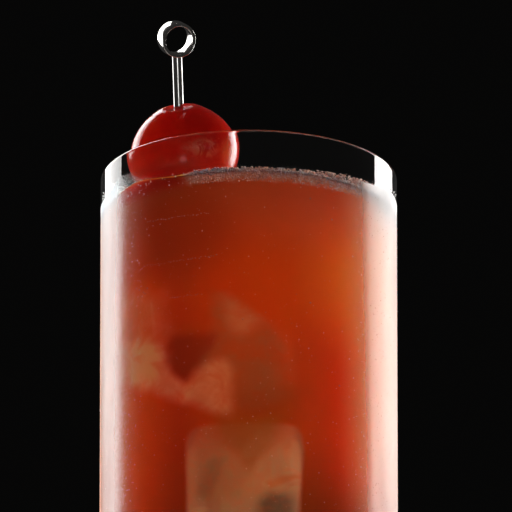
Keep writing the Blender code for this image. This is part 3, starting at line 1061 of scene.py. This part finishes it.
# %% Drink: finish
MURK, MURK_DENSITY = (0.93, 0.66, 0.42), 70.0
seen_through = juice.weighted((ice["upper cube"], 0.08), (lower, 0.4))
seen_through = juice.plus(seen_through, juice.ramp(swirl, 0.3, 0.7, 0.01, 0.03))
seen_through = juice.times(seen_through, juice.ramp(juice.turned_away(), 0.07, 0.2, 1.0, 0.3),
                           juice.less(sunk_froth, 0.6))
seen_through = juice.largest(seen_through, juice.times(climbing, beside, 0.85))
juice.set(Base_Color=juice_colour, Subsurface_Weight=1.0, Subsurface_Radius=spread,
          Subsurface_Scale=SPREAD_SCALE, IOR=1.34, Transmission_Weight=seen_through,
          Roughness=juice.ramp(juice.noise(3), 0.3, 0.7, 0.12, 0.18),
          Normal=juice.bump(juice.noise(6, 2), 0.05, 0.2))
juice.let_light_through()
murk = juice.add("ShaderNodeVolumeAbsorption", Color=MURK, Density=MURK_DENSITY)
juice.tree.links.new(murk.outputs[0], juice.out.inputs["Volume"])
finish_piece(drink, juice, "drink", "drink")

# %% [markdown]
# ## Small round things
# Froth, bubbles and dew are the same few shapes, thousands of times over. One bubble and one drop are
# modelled by hand with few faces, and then copied into a single mesh for each kind.


# %% One bubble and one drop
def make_ball(name):
    select_nothing()
    bpy.ops.mesh.primitive_uv_sphere_add(segments=6, ring_count=4, radius=1)
    return name_piece(name)


def make_bubble():
    """A ball with a flat foot, because a bubble spreads a little where it sits."""
    piece = make_ball("one_bubble")
    start_edit(piece, "VERT")
    select_points(piece, lambda place: place.z < -0.9)
    bpy.ops.transform.translate(value=(0, 0, 0.2))
    end_edit()
    return piece


def make_drop():
    """A low dome: a ball cut in half, closed, and flattened."""
    piece = make_ball("one_drop")
    start_edit(piece)
    bpy.ops.mesh.select_all(action="SELECT")
    bpy.ops.mesh.bisect(plane_co=(0, 0, 0.05), plane_no=(0, 0, 1), use_fill=True, clear_inner=True)
    bpy.ops.mesh.select_all(action="SELECT")
    bpy.ops.transform.resize(value=(1, 1, 0.55))
    end_edit()
    return piece


def scatter(name, master, places):
    """One mesh that holds a copy of the master at each place, a matrix."""
    points = np.array([tuple(v.co) + (1.0,) for v in master.data.vertices])
    faces = [tuple(face.vertices) for face in master.data.polygons]
    moved = np.concatenate([(points @ np.array(place).T)[:, :3] for place in places])
    count = len(points)
    all_faces = [tuple(i + n * count for i in face) for n in range(len(places)) for face in faces]
    mesh = bpy.data.meshes.new(name)
    mesh.from_pydata(moved.tolist(), [], all_faces)
    piece = bpy.data.objects.new(name, mesh)
    bpy.context.scene.collection.objects.link(piece)
    bpy.data.objects.remove(master)
    select_only(piece)
    bpy.ops.object.shade_smooth()
    print(name, "holds", len(places), "copies")
    return piece


# %% [markdown]
# ## The froth
# Fine froth lies on the drink along the wall, a band about 2 mm high, thickest from the fruit round to the
# right, with almost none left of the fruit. Bubbles alone would leave holes, so a soft uneven core carries
# them: a torus, flattened and worn by a cloud texture. The bubbles sit packed on and in it, and the
# smallest climb highest on the glass.

# %% Froth: the core
FROTH_WIDTH, FROTH_HEIGHT, FROTH_LIFT = 4.6 * MM, 0.9 * MM, 0.3 * MM
select_nothing()
bpy.ops.mesh.primitive_torus_add(major_segments=240, minor_segments=16, location=(0, 0, LEVEL + FROTH_LIFT),
                                 major_radius=INSIDE - FROTH_WIDTH / 2, minor_radius=FROTH_WIDTH / 2)
froth = name_piece("fine_froth")
froth.scale = (1, 1, FROTH_HEIGHT / FROTH_WIDTH)
apply_place(froth)
add_wear(froth, "froth lumps", size=2.2 * MM, strength=0.7 * MM, middle=0.6)
apply_modifiers(froth)
smooth(froth, 80)
print("froth", in_mm(froth.dimensions), "mm")


# %% Froth: where a bubble may sit
def upright(place, size):
    return Matrix.Translation(place) @ Matrix.Diagonal((size, size, size, 1))


def round_the_wall(angle, inwards, height):
    """A point inside the glass. The angle is counted from the camera's side, inwards from the wall."""
    radius = INSIDE - inwards
    return Vector((radius * math.sin(angle), -radius * math.cos(angle), height))


BARE_FROM, BARE_WIDTH = -24, 66


def away_from_fruit(angle):
    """False on the stretch left of the fruit, where almost no froth is left."""
    return not -BARE_WIDTH < math.degrees(angle) - BARE_FROM < 0


def higher_to_the_sides(angle):
    """How many millimetres the finest bubbles climb: more where the wall turns away from the camera."""
    return 0.7 + 1.3 * min(max((abs(math.degrees(angle)) - 20) / 30, 0), 1)


# %% Froth: its bubbles
FROTH_BUBBLES = 4500
chance = random.Random(11)


def mostly_small(least, more, power):
    """A random size or height in millimetres: mostly close to the least, seldom as much as least + more."""
    return least + more * chance.random() ** power


froth_places = []
while len(froth_places) < FROTH_BUBBLES:
    size = mostly_small(0.10, 0.20, 2) * MM
    angle = chance.uniform(-math.pi, math.pi)
    height = mostly_small(0.1, 0.3 + higher_to_the_sides(angle), 1.8)
    place = round_the_wall(angle, size + 1.2 * MM * chance.random() ** 2, LEVEL + height * MM)
    if away_from_fruit(angle) and (place - fruit_middle).length > FRUIT_RADIUS + size:
        froth_places.append(upright(place, size))
froth_bubbles = scatter("froth_bubbles", make_bubble(), froth_places)

# %% Froth: the bubbles along the glass, above and under its edge
FINE_BUBBLES = 5500
HANGING_DEPTH = 2.3
ABOVE_SHARE, CLIMBER_SHARE, BARE_SHARE = 0.5, 0.03, 0.05
fine_places = []
while len(fine_places) < FINE_BUBBLES:
    size = mostly_small(0.10, 0.17, 2.5) * MM
    angle = chance.uniform(-math.pi, math.pi)
    higher = higher_to_the_sides(angle)
    above = chance.random() < ABOVE_SHARE
    height = higher * chance.random() ** 1.5 if above else -HANGING_DEPTH * chance.random() ** 1.2
    if chance.random() < CLIMBER_SHARE:
        height = higher * mostly_small(0.7, 0.8, 1.5)
        size = mostly_small(0.06, 0.05, 1) * MM
    if away_from_fruit(angle) or chance.random() < BARE_SHARE:
        inwards = size if height > 0.5 else -INTO_WALL
        fine_places.append(upright(round_the_wall(angle, inwards, LEVEL + height * MM), size))
hanging_froth = scatter("hanging_froth", make_bubble(), fine_places)

# %% [markdown]
# ## The froth: finish
# The froth is pink, because red light from the drink comes up through it. Paint would look flat, so light
# scatters in it, and noise with two pinks stands for thick and thin places.

# %% Froth: finish
THIN_PINK, THICK_PINK, THIN_TOP, THICK_TOP = ((0.84, 0.33, 0.30), (1.0, 0.68, 0.66), (0.76, 0.30, 0.28),
                                              (0.95, 0.61, 0.60))
foam = Finish("fine pinkish froth")
foam_tone = foam.ramp(foam.noise(1.3, 3, 0.6), 0.42, 0.58)
foam_height = foam.ramp(foam.z, LEVEL - 1 * MM, LEVEL + 0.8 * MM)
foam_low = foam.blend(foam_tone, THIN_PINK, THICK_PINK)
foam_top = foam.blend(foam_tone, THIN_TOP, THICK_TOP)
foam.set(Base_Color=foam.blend(foam_height, foam_low, foam_top),
         Subsurface_Weight=1.0, Subsurface_Radius=(1, 0.5, 0.35), Subsurface_Scale=3 * MM,
         Transmission_Weight=foam.ramp(foam_tone, 0, 1, 0.2, 0.05), IOR=1.33,
         Roughness=foam.ramp(foam.noise(0.3), 0.3, 0.7, 0.1, 0.25),
         Normal=foam.bump(foam.cells(0.35), 0.05, 0.4))
finish_piece(froth, foam, "froth", "froth")
finish_piece(hanging_froth, foam, "froth")
finish_piece(froth_bubbles, foam, "froth")

# %% [markdown]
# ## Bubbles on the inner wall
# Here and there tiny bubbles cling to the glass under the surface, a few of them in rows. Each row was
# measured in the photograph by its two ends. The bubbles sit half in the drink's skin.

# %% Bubbles on the inner wall
BUBBLE_ROWS = [((150, 222), (210, 213), 24), ((147, 266), (217, 255), 26), ((172, 298), (202, 293), 12),
               ((140, 288), (148, 294), 4), ((353, 306), (376, 314), 9)]
SINGLE_BUBBLES = [(309, 199), (330, 220), (362, 227), (309, 302), (337, 384), (243, 318), (150, 288),
                  (186, 361)]
STRAY_BUBBLES = 140
wall_places = []
for start, end, count in BUBBLE_ROWS:
    for n in range(count):
        along = (n + chance.uniform(-0.35, 0.35)) / (count - 1)
        x = start[0] + (end[0] - start[0]) * along
        y = start[1] + (end[1] - start[1]) * along + chance.uniform(-0.8, 0.8)
        wall_places.append(upright(on_wall(x, y, drink_radius), chance.uniform(0.08, 0.17) * MM))
for x, y in SINGLE_BUBBLES:
    wall_places.append(upright(on_wall(x, y, drink_radius), chance.uniform(0.14, 0.24) * MM))
for n in range(STRAY_BUBBLES):
    angle = chance.uniform(-math.pi, math.pi)
    place = round_the_wall(angle, -INTO_WALL, chance.uniform(25 * MM, LEVEL - 3 * MM))
    wall_places.append(upright(place, chance.uniform(0.05, 0.11) * MM))
wall_bubbles = scatter("wall_bubbles", make_bubble(), wall_places)

# %% [markdown]
# ## Bubbles on the inner wall: finish
# Air inside the drink would need a hole in it, so these bubbles are small beads, partly clear and of a pale
# warm tone, which catch the light as a speck in the same way.

# %% Bubbles on the inner wall: finish
bead = Finish("bubbles in the drink")
bead_tone = bead.noise(1.5, 2)
bead.set(Base_Color=bead.blend(bead_tone, (0.85, 0.45, 0.32), (0.95, 0.80, 0.72)), IOR=1.33,
         Transmission_Weight=bead.ramp(bead_tone, 0.3, 0.7, 0.5, 0.2),
         Roughness=bead.ramp(bead_tone, 0.3, 0.7, 0.08, 0.2))
finish_piece(wall_bubbles, bead, "froth")

# %% [markdown]
# ## Dew on the glass
# The mist gathers into fine drops on the outside, thickest towards the left and right of the picture. Drops
# as real little domes catch the light from every side, which a painted speckle can't. They are sunk a
# little into the wall, so that none of them floats.

# %% Dew
DEW_DROPS = 8000
SUNK = 0.02 * MM
THICKEST, FALLOFF, EVERYWHERE = 0.84, 0.10, 0.12
dew_places = []
while len(dew_places) < DEW_DROPS:
    angle = chance.uniform(-math.pi, math.pi)
    height = chance.uniform(8 * MM, LEVEL + 0.5 * MM)
    off_thickest = (abs(math.sin(angle)) - THICKEST) / FALLOFF
    if chance.random() > EVERYWHERE + (1 - EVERYWHERE) * math.exp(-off_thickest ** 2):
        continue
    size = mostly_small(0.05, 0.09, 4) * MM
    out = Vector((math.sin(angle), -math.cos(angle), 0))
    place = Matrix.Translation(out * (GLASS_RADIUS - SUNK) + Vector((0, 0, height)))
    turn = out.to_track_quat("Z", "Y").to_matrix().to_4x4()
    dew_places.append(place @ turn @ Matrix.Diagonal((size, size * chance.uniform(1, 1.3), size, 1)))
dew = scatter("dew", make_drop(), dew_places)

# %% Dew: finish
water = Finish("drops of water")
water_tone = water.noise(2, 2)
water.set(Base_Color=water.blend(water_tone, (0.93, 0.84, 0.80), (1.0, 0.94, 0.90)), IOR=1.33,
          Transmission_Weight=water.ramp(water_tone, 0.3, 0.7, 0.1, 0.2),
          Roughness=water.ramp(water_tone, 0.3, 0.7, 0.1, 0.25))
water.let_light_through()
finish_piece(dew, water, "glass")
